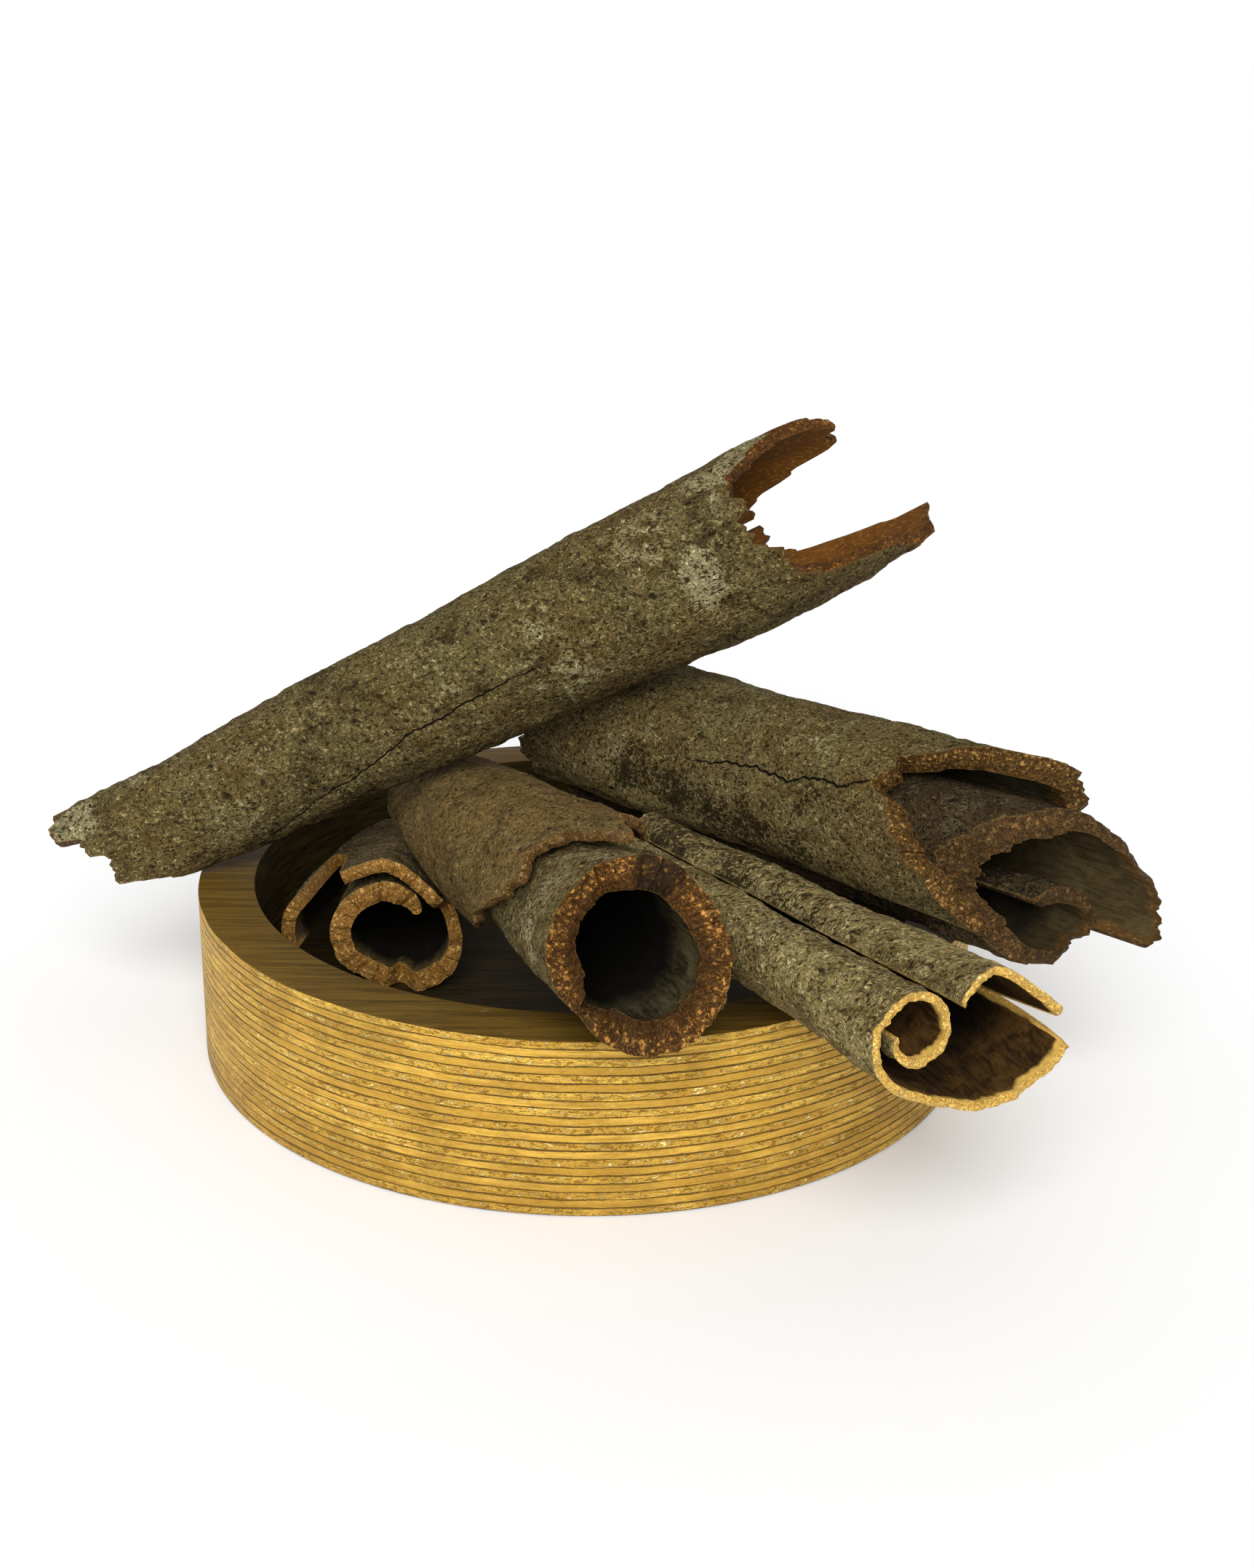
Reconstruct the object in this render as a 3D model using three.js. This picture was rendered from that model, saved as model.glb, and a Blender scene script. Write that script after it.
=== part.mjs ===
// A stack of cinnamon sticks lying in and over a round plywood dish.
// Each stick is a sheet of bark that dried into a curl, so each is built as one sheet:
// a section curve is swept along the stick's axis, given a thickness and closed at its torn borders.
// Millimetres, +Z up. The origin is the centre of the dish's underside, and the sticks fan out to -Y.

import * as THREE from "three";

// The dish is turned from a block of plywood: a plain wall, a flat floor and broken edges.
const dish = {
  outerRadius: 69,
  wall: 9.8,
  height: 30,
  floor: 9.3,
  brokenEdge: 0.6,
  segments: 64,
};

// A stick's section is seen from its front end. It starts at `start`, heads `heading` degrees round
// from +x, and each of its `bends` is a stretch of bark in millimetres and the angle it turns through.
// `torn` lists how far along the axis each end is torn, as [place across the sheet from 0 to 1, mm].
// `growth` is the size of the section at the axis's second point, with 1 at its first point.
// A `flare` opens the section by `amount` more between two places along the axis and on beyond them.
// `slant` tilts the front border, by that many millimetres per millimetre right and up.
const sticks = [
  {
    name: "quill_top",
    color: 0x6b6350,
    axis: [[-70, 0.5, 40.4], [30, 8.5, 89.7]],
    start: [-9.3, -1.6],
    heading: -80,
    bends: [[14.6, 88], [14.6, 88], [14.6, 88], [14.6, 88]],
    growth: 1.54,
    flare: { from: 106, to: 130, amount: -0.2 },
    thickness: 2.3,
    tornFront: [[0, 4], [0.14, 3], [0.23, 0], [0.28, -2], [0.31, -5], [0.36, -9], [0.43, -15.6],
      [0.51, -15.7], [0.55, -18.3], [0.59, -18.5], [0.62, -22.8], [0.7, -23.5], [0.78, -23],
      [0.84, -15], [0.91, -6], [1, 2]],
    tornBack: [[0, 112.5], [0.05, 113], [0.08, 116], [0.12, 131], [0.15, 142], [0.18, 140],
      [0.23, 138], [0.31, 135], [0.38, 132], [0.41, 120], [0.44, 113.5], [0.5, 111.5],
      [0.56, 109.2], [0.63, 109.8], [0.69, 113], [0.75, 120], [0.8, 127], [0.86, 130.5],
      [0.91, 131], [0.935, 121], [0.96, 113.5], [1, 112.5]],
    ragged: 0.5,
    columns: 32,
    rows: 16,
  },
  {
    name: "quill_right_outer",
    color: 0x726a4f,
    axis: [[88.8, -53.7, 47.1], [8.6, 21.6, 47.7]],
    start: [14.6, 2.6],
    heading: 100,
    bends: [[21, 79], [20, 79], [12.6, 47]],
    growth: 0.93,
    flare: { from: 46, to: 20, amount: 0.1 },
    thickness: 2.6,
    tornFront: [[0, 24], [0.12, 23], [0.27, 25], [0.37, 33], [0.45, 39], [0.54, 45],
      [0.62, 45.5], [0.69, 40], [0.81, 35], [0.88, 29.5], [0.95, 25.5], [1, 22]],
    tornBack: [[0, 126], [0.3, 123], [0.6, 127], [1, 124]],
    ragged: 0.5,
    columns: 28,
    rows: 14,
  },
  {
    name: "quill_right_inner",
    color: 0x5d5443,
    axis: [[88.8, -53.7, 47.1], [8.6, 21.6, 47.7]],
    start: [7.5, -12],
    heading: 40,
    bends: [[26, 128], [26, 128], [4.5, 5], [18, 160], [10, 120]],
    growth: 0.88,
    thickness: 2,
    tornFront: [[0, 4], [0.06, 3.5], [0.1, 5.5], [0.2, 11], [0.28, 15], [0.36, 19], [0.44, 24], [0.52, 28],
      [0.58, 27], [0.64, 22], [0.7, 20], [0.8, 15], [0.88, 12], [0.95, 16], [1, 18]],
    tornBack: [[0, 118], [0.5, 120], [1, 116]],
    ragged: 0.5,
    columns: 34,
    rows: 12,
  },
  {
    name: "quill_ring",
    color: 0x6a5f48,
    axis: [[7.5, -76, 47.9], [-24.6, 13.7, 32.6]],
    start: [-7.6, -9.5],
    heading: -51,
    bends: [[26.5, 136], [14.4, 50], [10.7, 59], [24.2, 111]],
    growth: 0.43,
    thickness: 2.8,
    slant: [-0.115, 0.1],
    tornFront: [[0, 0.6], [0.25, -0.4], [0.5, 0.3], [0.62, -0.4], [0.72, 1.5], [0.78, -0.3], [1, 0.2]],
    tornBack: [[0, 96], [0.5, 93], [1, 97]],
    ragged: 0.4,
    columns: 28,
    rows: 12,
  },
  {
    name: "bark_shell",
    color: 0x6d5a45,
    axis: [[2.2, -56, 44.4], [-31, 33.8, 31]],
    start: [11.9, 9.4],
    heading: 127,
    bends: [[14, 53], [25, 95], [6.5, 25]],
    growth: 0.66,
    thickness: 1.8,
    tornFront: [[0, 10], [0.09, 4], [0.22, 2], [0.28, -7.5], [0.32, -17], [0.38, -9], [0.43, -3],
      [0.5, -2], [0.57, -0.3], [0.63, -3.3], [0.71, 1.5], [0.79, 9], [0.89, 18], [1, 25]],
    tornBack: [[0, 60], [0.2, 88], [0.45, 92], [0.8, 84], [1, 46]],
    ragged: 0.4,
    columns: 22,
    rows: 10,
  },
  {
    name: "quill_small",
    color: 0x7a5b40,
    axis: [[-37.2, -8.5, 20.3], [-37, 41, 16.5]],
    start: [7.1, 3],
    heading: 107,
    bends: [[16.5, 132], [13.1, 88], [11.4, 42], [15.5, 116], [10.6, 11], [7.4, 66], [11.5, 2], [11.5, 107]],
    growth: 0.6,
    thickness: 2.4,
    tornFront: [[0, 3], [0.08, 2], [0.1, 0], [0.36, 0], [0.382, 3], [0.41, 0], [0.55, 0], [0.59, 5],
      [0.618, 0], [0.82, 0.5], [0.85, 20], [0.885, 22], [0.91, -1.5], [1, -2.5]],
    tornBack: [[0, 43], [0.5, 41], [0.8, 42], [1, 38]],
    ragged: 0.3,
    columns: 34,
    rows: 8,
  },
  {
    name: "quill_double",
    color: 0x6f6750,
    axis: [[48.9, -96, 41.4], [4.9, -9.4, 36.5]],
    start: [-7.7, 4.7],
    heading: -95,
    bends: [[12.4, 182], [21.7, 210], [6.6, 28], [16.4, 34], [14.5, 53], [2.9, 73], [15.7, 29], [8.7, 103]],
    growth: 0.62,
    thickness: 1.3,
    tornFront: [[0, 0.5], [0.2, -0.3], [0.4, 0.2], [0.72, 0], [0.75, 20], [0.78, 0], [1, -0.2]],
    tornBack: [[0, 92], [0.5, 90], [1, 93]],
    ragged: 0.2,
    columns: 44,
    rows: 11,
  },
];

const borderWidth = 3; // millimetres of bark that thin out towards the sheet's two long borders
const borderThickness = 0.6; // what is left of the thickness right at those borders
const unevenness = 0.25; // millimetres by which the bark waves in and out

const lerp = THREE.MathUtils.lerp;

// The value at `at` of a line through [place, value] pairs, rounded at its corners.
function along(pairs, at) {
  const last = pairs.length - 1;
  let i = 0;
  while (i < last - 1 && pairs[i + 1][0] < at) i += 1;
  const [from, to] = [pairs[i], pairs[i + 1]];
  const part = THREE.MathUtils.smoothstep(at, from[0], to[0]);
  return lerp(from[1], to[1], part);
}

// A torn border is a sum of three waves that never fall in step.
function tear(distance, phase) {
  return (
    Math.sin(0.9 * distance + phase) +
    0.7 * Math.sin(2.1 * distance + 2.3 * phase) +
    0.5 * Math.sin(4.7 * distance + 3.1 * phase)
  );
}

// The section curve at `columns` + 1 even places: position, normal and distance walked.
function walkSection({ start, heading, bends, columns }) {
  const width = bends.reduce((sum, [length]) => sum + length, 0);
  const stepsPerColumn = 12;
  const step = width / (columns * stepsPerColumn);
  const places = [];
  let [x, y] = start;
  let angle = THREE.MathUtils.degToRad(heading);
  let bend = 0;
  let bendEnd = bends[0][0];
  for (let i = 0; i <= columns * stepsPerColumn; i += 1) {
    const walked = i * step;
    if (i % stepsPerColumn === 0) {
      places.push({ x, y, normal: [Math.sin(angle), -Math.cos(angle)], walked });
    }
    if (walked >= bendEnd && bend < bends.length - 1) {
      bend += 1;
      bendEnd += bends[bend][0];
    }
    const turn = (THREE.MathUtils.degToRad(bends[bend][1]) / bends[bend][0]) * step;
    x += step * Math.cos(angle + turn / 2);
    y += step * Math.sin(angle + turn / 2);
    angle += turn;
  }
  return { places, width };
}

// One closed sheet of bark: an outer and an inner skin, joined along all four borders.
function barkSheet(stick, phase) {
  const { axis, growth, thickness, columns, rows } = stick;
  const [first, second] = axis.map((p) => new THREE.Vector3(...p));
  const length = first.distanceTo(second);
  const away = second.clone().sub(first).normalize();
  const right = away.clone().cross(new THREE.Vector3(0, 0, 1)).normalize();
  const up = right.clone().cross(away);
  const { places, width } = walkSection(stick);
  const slant = stick.slant ?? [0, 0];
  const flare = stick.flare ?? { from: 0, to: 1, amount: 0 };

  const outer = [];
  const inner = [];
  for (const place of places) {
    const across = place.walked / width;
    const rag = stick.ragged * tear(place.walked, phase);
    const front = along(stick.tornFront, across) + rag + slant[0] * place.x + slant[1] * place.y;
    const back = along(stick.tornBack, across) + 2 * stick.ragged * tear(place.walked, phase + 1);
    const toBorder = Math.min(place.walked, width - place.walked) / borderWidth;
    const body = lerp(borderThickness, 1, Math.min(1, toBorder));
    for (let row = 0; row <= rows; row += 1) {
      const s = lerp(front, back, row / rows);
      const opened = flare.amount * Math.max(0, (s - flare.from) / (flare.to - flare.from)) ** 2;
      const size = 1 + (growth - 1) * (s / length) + opened;
      const wave = unevenness * Math.sin(0.13 * s + 0.35 * place.walked + phase);
      for (const [skin, side] of [[outer, 0.5], [inner, -0.5]]) {
        const lift = wave + side * thickness * body;
        const px = place.x * size + place.normal[0] * lift;
        const py = place.y * size + place.normal[1] * lift;
        skin.push(
          first.clone().addScaledVector(away, s).addScaledVector(right, px).addScaledVector(up, py),
        );
      }
    }
  }

  const points = [...outer, ...inner];
  const at = (skin, column, row) => skin * outer.length + column * (rows + 1) + row;
  const faces = [];
  const quad = (a, b, c, d) => faces.push(a, c, b, a, d, c);
  for (let i = 0; i < columns; i += 1) {
    for (let j = 0; j < rows; j += 1) {
      quad(at(0, i, j), at(0, i + 1, j), at(0, i + 1, j + 1), at(0, i, j + 1));
      quad(at(1, i, j), at(1, i, j + 1), at(1, i + 1, j + 1), at(1, i + 1, j));
    }
    quad(at(0, i, 0), at(1, i, 0), at(1, i + 1, 0), at(0, i + 1, 0));
    quad(at(0, i, rows), at(0, i + 1, rows), at(1, i + 1, rows), at(1, i, rows));
  }
  for (let j = 0; j < rows; j += 1) {
    quad(at(0, 0, j), at(0, 0, j + 1), at(1, 0, j + 1), at(1, 0, j));
    quad(at(0, columns, j), at(1, columns, j), at(1, columns, j + 1), at(0, columns, j + 1));
  }

  const geometry = new THREE.BufferGeometry().setFromPoints(points);
  geometry.setIndex(faces);
  geometry.computeVertexNormals();
  return geometry;
}

// The dish's profile runs from the axis out along the underside, up the wall and back to the axis.
function dishGeometry() {
  const { outerRadius, wall, height, floor, brokenEdge, segments } = dish;
  const innerRadius = outerRadius - wall;
  const profile = [
    [0, 0],
    [outerRadius - brokenEdge, 0],
    [outerRadius, brokenEdge],
    [outerRadius, height - brokenEdge],
    [outerRadius - brokenEdge, height],
    [innerRadius + brokenEdge, height],
    [innerRadius, height - brokenEdge],
    [innerRadius, floor],
    [0, floor],
  ].map(([radius, z]) => new THREE.Vector2(radius, z));
  return new THREE.LatheGeometry(profile, segments).rotateX(Math.PI / 2);
}

function piece(name, geometry, color, roughness) {
  const material = new THREE.MeshStandardMaterial({ color, roughness, metalness: 0 });
  const mesh = new THREE.Mesh(geometry, material);
  mesh.name = name;
  return mesh;
}

const group = new THREE.Group();
group.add(piece("dish", dishGeometry(), 0xa8842f, 0.7));
sticks.forEach((stick, index) => {
  group.add(piece(stick.name, barkSheet(stick, index + 1), stick.color, 0.9));
});

export default group;
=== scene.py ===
import math
import bpy
import numpy as np
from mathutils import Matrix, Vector, noise


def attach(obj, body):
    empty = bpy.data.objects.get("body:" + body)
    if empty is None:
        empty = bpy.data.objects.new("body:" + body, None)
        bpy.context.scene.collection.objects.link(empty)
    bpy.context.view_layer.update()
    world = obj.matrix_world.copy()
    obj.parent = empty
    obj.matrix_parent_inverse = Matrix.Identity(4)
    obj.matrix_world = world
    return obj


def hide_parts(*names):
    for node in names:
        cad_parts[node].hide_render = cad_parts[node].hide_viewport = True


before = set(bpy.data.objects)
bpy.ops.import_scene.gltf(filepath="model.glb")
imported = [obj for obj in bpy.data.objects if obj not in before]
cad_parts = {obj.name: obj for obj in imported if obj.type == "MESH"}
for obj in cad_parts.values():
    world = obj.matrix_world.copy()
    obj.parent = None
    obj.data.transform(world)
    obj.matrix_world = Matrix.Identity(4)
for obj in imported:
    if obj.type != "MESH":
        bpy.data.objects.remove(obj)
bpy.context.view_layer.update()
print("frame loaded")

mm = 0.001
unitsPerMetre = (1000, 1000, 1000)  # turns a place in metres into millimetres
hair = 0.001  # how near to a skin or an edge still counts as on it
farAway = 99.0  # stands for no crack near
facingUp = 0.9  # the least height of the normal of a face that looks up


def linear(red, green, blue):
    # a colour as it looks on screen, 0 to 255, to the values that the shader works in
    parts = [c / 255 for c in (red, green, blue)]
    return tuple(c / 12.92 if c < 0.04 else ((c + 0.055) / 1.055) ** 2.4 for c in parts) + (1.0,)


def onlyActive(piece):
    bpy.ops.object.select_all(action="DESELECT")
    piece.select_set(True)
    bpy.context.view_layer.objects.active = piece


def applyAll(piece):
    onlyActive(piece)
    for modifier in list(piece.modifiers):
        bpy.ops.object.modifier_apply(modifier=modifier.name)


class Wire:
    def __init__(self, paint, socket):
        self.paint = paint
        self.socket = socket

    def math(self, operation, first, second=0.0):
        return self.paint.node("ShaderNodeMath", {"operation": operation}, {0: first, 1: second})

    def __add__(self, other):
        return self.math("ADD", self, other)

    def __radd__(self, other):
        return self.math("ADD", other, self)

    def __sub__(self, other):
        return self.math("SUBTRACT", self, other)

    def __rsub__(self, other):
        return self.math("SUBTRACT", other, self)

    def __mul__(self, other):
        return self.math("MULTIPLY", self, other)

    def __rmul__(self, other):
        return self.math("MULTIPLY", other, self)

    def __truediv__(self, other):
        return self.math("DIVIDE", self, other)

    def __rtruediv__(self, other):
        return self.math("DIVIDE", other, self)

    def __mod__(self, other):
        return self.math("MODULO", self, other)

    def __abs__(self):
        return self.math("ABSOLUTE", self)

    def floor(self):
        return self.math("FLOOR", self)

    def atLeast(self, other):
        return self.math("MAXIMUM", self, other)


class Paint:
    def __init__(self, name):
        self.material = bpy.data.materials.new(name)
        self.material.use_nodes = True
        self.tree = self.material.node_tree
        self.surface = self.tree.nodes["Principled BSDF"]

    def node(self, kind, settings=None, sockets=None, output=0):
        made = self.tree.nodes.new(kind)
        for key, value in (settings or {}).items():
            setattr(made, key, value)
        for key, value in (sockets or {}).items():
            self.feed(self.socketOf(made, key), value)
        if isinstance(output, str):
            return Wire(self, next(o for o in made.outputs if output in (o.identifier, o.name)))
        return Wire(self, made.outputs[output])

    def socketOf(self, made, key):
        if isinstance(key, int):
            return made.inputs[key]
        return next(i for i in made.inputs if key in (i.identifier, i.name))

    def feed(self, socket, value):
        if isinstance(value, Wire):
            self.tree.links.new(value.socket, socket)
        else:
            socket.default_value = value

    def shade(self, **sockets):
        for key, value in sockets.items():
            self.feed(self.surface.inputs[key.replace("_", " ")], value)
        return self.material

    def attribute(self, name, output="Fac"):
        return self.node("ShaderNodeAttribute", {"attribute_name": name}, {}, output)

    def stretch(self, vector, scale, offset=(0, 0, 0)):
        return self.node("ShaderNodeMapping", {}, {"Vector": vector, "Location": offset, "Scale": scale})

    def noise(self, vector, scale, detail=2.0, roughness=0.5, distortion=0.0):
        sockets = {
            "Vector": vector, "Scale": scale, "Detail": detail,
            "Roughness": roughness, "Distortion": distortion,
        }
        return self.node("ShaderNodeTexNoise", {}, sockets, "Fac")

    def cells(self, vector, scale, feature="F1"):
        sockets = {"Vector": vector, "Scale": scale}
        return self.node("ShaderNodeTexVoronoi", {"feature": feature}, sockets, "Distance")

    def rise(self, value, low, high):
        # 0 below low, 1 above high, smooth between
        sockets = {"Value": value, "From Min": low, "From Max": high}
        return self.node("ShaderNodeMapRange", {"interpolation_type": "SMOOTHSTEP"}, sockets)

    def blend(self, factor, first, second):
        settings = {"data_type": "RGBA", "blend_type": "MIX"}
        sockets = {"Factor_Float": factor, "A_Color": first, "B_Color": second}
        return self.node("ShaderNodeMix", settings, sockets, "Result_Color")

    def warp(self, vector, scale, amount):
        # pushes a pattern about, so that its shapes lose their regular outline
        middle = (0.5, 0.5, 0.5)
        sockets = {"Vector": vector, "Scale": scale, "Detail": 2.0}
        push = self.node("ShaderNodeTexNoise", {}, sockets, "Color")
        centred = self.node("ShaderNodeVectorMath", {"operation": "SUBTRACT"}, {0: push, 1: middle})
        sockets = {0: centred, 1: (amount, amount, amount), 2: vector}
        return self.node("ShaderNodeVectorMath", {"operation": "MULTIPLY_ADD"}, sockets)

    def bump(self, height, distance):
        sockets = {"Height": height, "Distance": distance, "Strength": 1.0}
        return self.node("ShaderNodeBump", {}, sockets, "Normal")


def squiggles(paint, vector, scale, width, distortion):
    # thin wandering lines, where a noise passes through its middle
    field = paint.noise(vector, scale, 2.0, 0.5, distortion)
    return 1 - paint.rise(abs(field - 0.5), 0.0, width)


def outerBark(name, look):
    # grey or brown cork: a weave of pale fibres over darker ground, with pits, lichen, cracks and dark
    # speckled patches that are in places painted shade
    p = Paint(name)
    place = p.attribute("barkPlace", "Vector")
    border = p.attribute("borderDistance")
    crack = 1 - p.rise(abs(p.attribute("crack")), 0.08, 0.3)
    pale = p.attribute("palePatch")
    dark = p.attribute("darkAndShadePatch")
    bent = p.warp(place, 0.55, 1.6)
    broad = p.noise(place, 0.055, 3.0, 0.55, 0.4)
    patchy = p.noise(p.stretch(bent, (1.0, 0.6, 1.0)), 0.3, 5.0, 0.62, 0.4)
    fine = p.noise(p.stretch(bent, (1.0, 0.7, 1.0)), 1.9, 3.0, 0.6, 0.5)
    fibres = squiggles(p, p.stretch(bent, (1.0, 0.72, 1.0)), 1.0, 0.062, 0.7)
    hairs = squiggles(p, p.stretch(bent, (1.0, 0.8, 1.0), (31, 7, 3)), 2.1, 0.08, 1.0)
    weave = (fibres * p.rise(fine, 0.3, 0.48)).atLeast(hairs * p.rise(fine, 0.36, 0.54))
    holes = p.cells(p.stretch(bent, (1.0, 0.75, 1.0)), 0.42)
    pits = (1 - p.rise(holes, 0.07, 0.24)) * p.rise(1 - patchy, 0.4, 0.55)
    paleField = pale * 0.55 + (patchy - 0.5) * 1.9 + (fine - 0.5) * 1.1
    strayField = broad + (patchy - 0.5) * 0.5
    stray = p.rise(strayField, look["lichenFrom"], look["lichenFrom"] + 0.16)
    lichen = (p.rise(paleField, 0.32, 0.75) * p.rise(pale, 0.0, 0.35)).atLeast(stray * 0.5)
    darkField = dark * 0.5 + (0.5 - patchy) * 1.2 + (0.5 - fine) * 2.6
    # dark specks where the dark-and-shade patches lie: partly real dark specks, partly painted shade on
    # undersides and in valleys
    specksAndShade = p.rise(darkField, 0.38, 0.56) * p.rise(dark, 0.0, 0.3)
    colour = p.blend(p.rise(patchy, 0.32, 0.64), look["ground"], look["body"])
    colour = p.blend(p.rise(broad, 0.38, 0.6) * look["warmth"], colour, look["warm"])
    colour = p.blend(lichen * p.rise(fine, 0.36, 0.56) * look["lichen"] * 0.55, colour, look["pale"])
    strand = p.blend(lichen * look["lichen"], look["light"], look["pale"])
    colour = p.blend(weave * p.rise(patchy, 0.2, 0.54) * look["fibre"], colour, strand)
    gaps = p.rise(1 - fine, 0.5, 0.63) * (1 - weave) * 0.85
    colour = p.blend((pits * 0.85).atLeast(gaps).atLeast(specksAndShade * 0.8), colour, look["pit"])
    colour = p.blend(crack, colour, look["crackColour"])
    colour = p.blend((1 - p.rise(border + (fine - 0.5) * 0.9, 0.08, 0.4)) * 0.7, colour, look["rim"])
    height = patchy * 0.6 + fine * 0.5 + weave * 0.4 - pits * 0.9 - crack * 0.9
    return p.shade(
        Base_Color=colour, Roughness=0.9, Specular_IOR_Level=0.1,
        Normal=p.bump(height, look["relief"] * mm),
    )


def innerBark(name, look):
    # smooth and streaked along the stick, fresher near a tear, with painted shade that turns it black far
    # inside and darkens it in the dark-and-shade patches
    p = Paint(name)
    place = p.attribute("barkPlace", "Vector")
    border = p.attribute("borderDistance")
    mouth = p.attribute("mouthDistance")
    dark = p.attribute("darkAndShadePatch")
    bent = p.warp(place, 0.3, 1.2)
    streak = p.noise(p.stretch(bent, (1.3, 0.2, 1.0)), 1.0, 4.0, 0.6, 0.3)
    blotch = p.noise(place, 0.16, 4.0, 0.6, 0.6)
    fine = p.noise(p.stretch(bent, (2.2, 0.9, 1.0)), 1.0, 3.0, 0.6)
    colour = p.blend(p.rise(streak, 0.34, 0.66), look["innerDark"], look["inner"])
    colour = p.blend(p.rise(blotch, 0.46, 0.66) * 0.6, colour, look["innerPale"])
    colour = p.blend(p.rise(1 - fine, 0.5, 0.68) * 0.5, colour, look["innerDark"])
    fresh = 1 - p.rise(border + (blotch - 0.5) * 3, look["innerFresh"] * 0.35, look["innerFresh"])
    freshColour = p.blend(p.rise(blotch, 0.3, 0.7) * 0.5, look["torn"], look["tornDark"])
    freshColour = p.blend(p.rise(fine, 0.52, 0.66) * 0.35, freshColour, look["gold"])
    colour = p.blend(fresh * 0.9, colour, freshColour)
    # painted shade in the dark-and-shade patches, such as the hollow of a scroll
    colour = p.blend(p.rise(dark + (blotch - 0.5) * 0.4, 0.0, 0.9) * 0.85, colour, look["innerShadeColour"])
    # painted shade: darker with distance from the torn end, black far inside
    colour = p.blend(p.rise(mouth, look["blackStart"], look["blackFrom"]) * 0.97, colour, look["innerShadeColour"])
    height = streak * 0.7 + fine * 0.3
    return p.shade(
        Base_Color=colour, Roughness=0.85, Specular_IOR_Level=0.12,
        Normal=p.bump(height, 0.45 * mm),
    )


def tornBark(name, look):
    # the broken edge: golden grains in a darker mass, with a thin skin at both sides; where the grains glint
    # a painted highlight turns them gold, and far inside a bore painted shade turns the edge black
    p = Paint(name)
    place = p.attribute("barkPlace", "Vector")
    through = p.attribute("through")
    dark = p.attribute("darkAndShadePatch")
    mouth = p.attribute("mouthDistance")
    bent = p.warp(place, 0.9, 0.7)
    broad = p.noise(place, 0.16, 2.0, 0.5)
    lumps = 1 - p.cells(bent, look["nuggets"], "SMOOTH_F1")
    fine = p.noise(bent, 2.6, 3.0, 0.6, 0.8)
    curls = squiggles(p, bent, look["nuggets"] * 0.8, 0.05, 0.8)
    outward = p.rise(through + (broad - 0.5) * 0.5, 0.25, 0.6) * (1 - look["evenly"]) + look["evenly"]
    glint = p.rise(lumps + (fine - 0.5) * 0.5, 0.66, 0.88).atLeast(curls * 0.5) * outward
    colour = p.blend(p.rise(fine, 0.38, 0.6), look["tornDark"], look["torn"])
    colour = p.blend(p.rise(1 - lumps, 0.42, 0.7) * 0.5, colour, look["tornDark"])
    # painted highlight, over the grains' own golden colour: where they glint the colour turns towards gold
    colour = p.blend(glint * look["glint"], colour, look["gold"])
    colour = p.blend(p.rise(broad, 0.5, 0.68) * look["tornShade"], colour, look["tornDark"])
    # where the dark-and-shade patches lie the torn face darkens: painted shade, with some real dark marks
    colour = p.blend(p.rise(dark + (fine - 0.5) * 0.9, 0.2, 0.75) * 0.75, colour, look["pit"])
    skin = p.rise(abs(through - 0.5), 0.47, 0.5) * look["outline"]
    colour = p.blend(skin, colour, look["rim"])
    # painted shade: a torn face far inside a bore turns black
    farInShade = p.rise(mouth, look["blackStart"] * 2, look["blackFrom"] * 2)
    colour = p.blend(farInShade * 0.9, colour, look["innerShadeColour"])
    height = lumps * 0.8 + fine * 0.35 + curls * 0.3
    return p.shade(
        Base_Color=colour, Roughness=0.66 - glint * 0.3, Specular_IOR_Level=0.14,
        Normal=p.bump(height, 0.6 * mm),
    )


# what all the bark shares, in mm unless noted
barkHabit = {
    "gridStep": 0.5,  # between the points of a sheet
    "growthShare": 0.85,  # of the growth, in the number of columns
    "rowShare": 0.9,  # of the rows that the step would give
    "layerStep": 0.45,  # between the layers that a torn edge shows
    "sectionSteps": 2400,  # along the section curve, a count
    "borderWidth": 3.0,  # over which the sheet thins towards its long edges
    "borderThickness": 0.6,  # share of the thickness left at a long edge
    "unevenness": 0.25,
    "frayed": 0.3,  # how far the layers of a torn end differ
    "frayAcross": 0.9,  # how fast they differ across the sheet
    "frayThrough": 2.2,  # and from skin to skin
    "rounded": 0.28,  # how far the skins are set back from an edge
    "lipLength": 7.0,
    "crackDepth": 0.35,
    "crackOnset": 3,  # a crack opens this many times as fast at its front end
    "crackTip": 0.01,  # its width where it ends
    "calmBorder": 1.2,  # over which the relief fades out towards an edge
    "smoothAngle": 50,  # degrees
}

# colours, and the places and strengths of their patterns, that a stick's own look overrides
greyLook = {
    "ground": linear(66, 53, 22), "body": linear(104, 91, 50), "warm": linear(98, 74, 33), "warmth": 0.75,
    "light": linear(158, 143, 96), "pale": linear(198, 188, 142), "pit": linear(24, 17, 5),
    "crackColour": linear(10, 7, 2), "rim": linear(130, 102, 54),
    "fibre": 0.85, "lichen": 0.85, "lichenFrom": 0.64, "relief": 1.0,
    "inner": linear(80, 71, 44), "innerDark": linear(40, 32, 15), "innerPale": linear(100, 90, 58),
    # painted shade inside a stick: where it starts, where it is full, and its near-black colour
    "innerFresh": 3.5, "blackStart": 2.0, "blackFrom": 15.0, "innerShadeColour": linear(4, 3, 1),
    "torn": linear(116, 74, 24), "tornDark": linear(58, 34, 7), "gold": linear(210, 158, 86),
    "nuggets": 1.2, "glint": 0.85, "tornShade": 0.45, "outline": 0.35, "evenly": 0.4,
}
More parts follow.
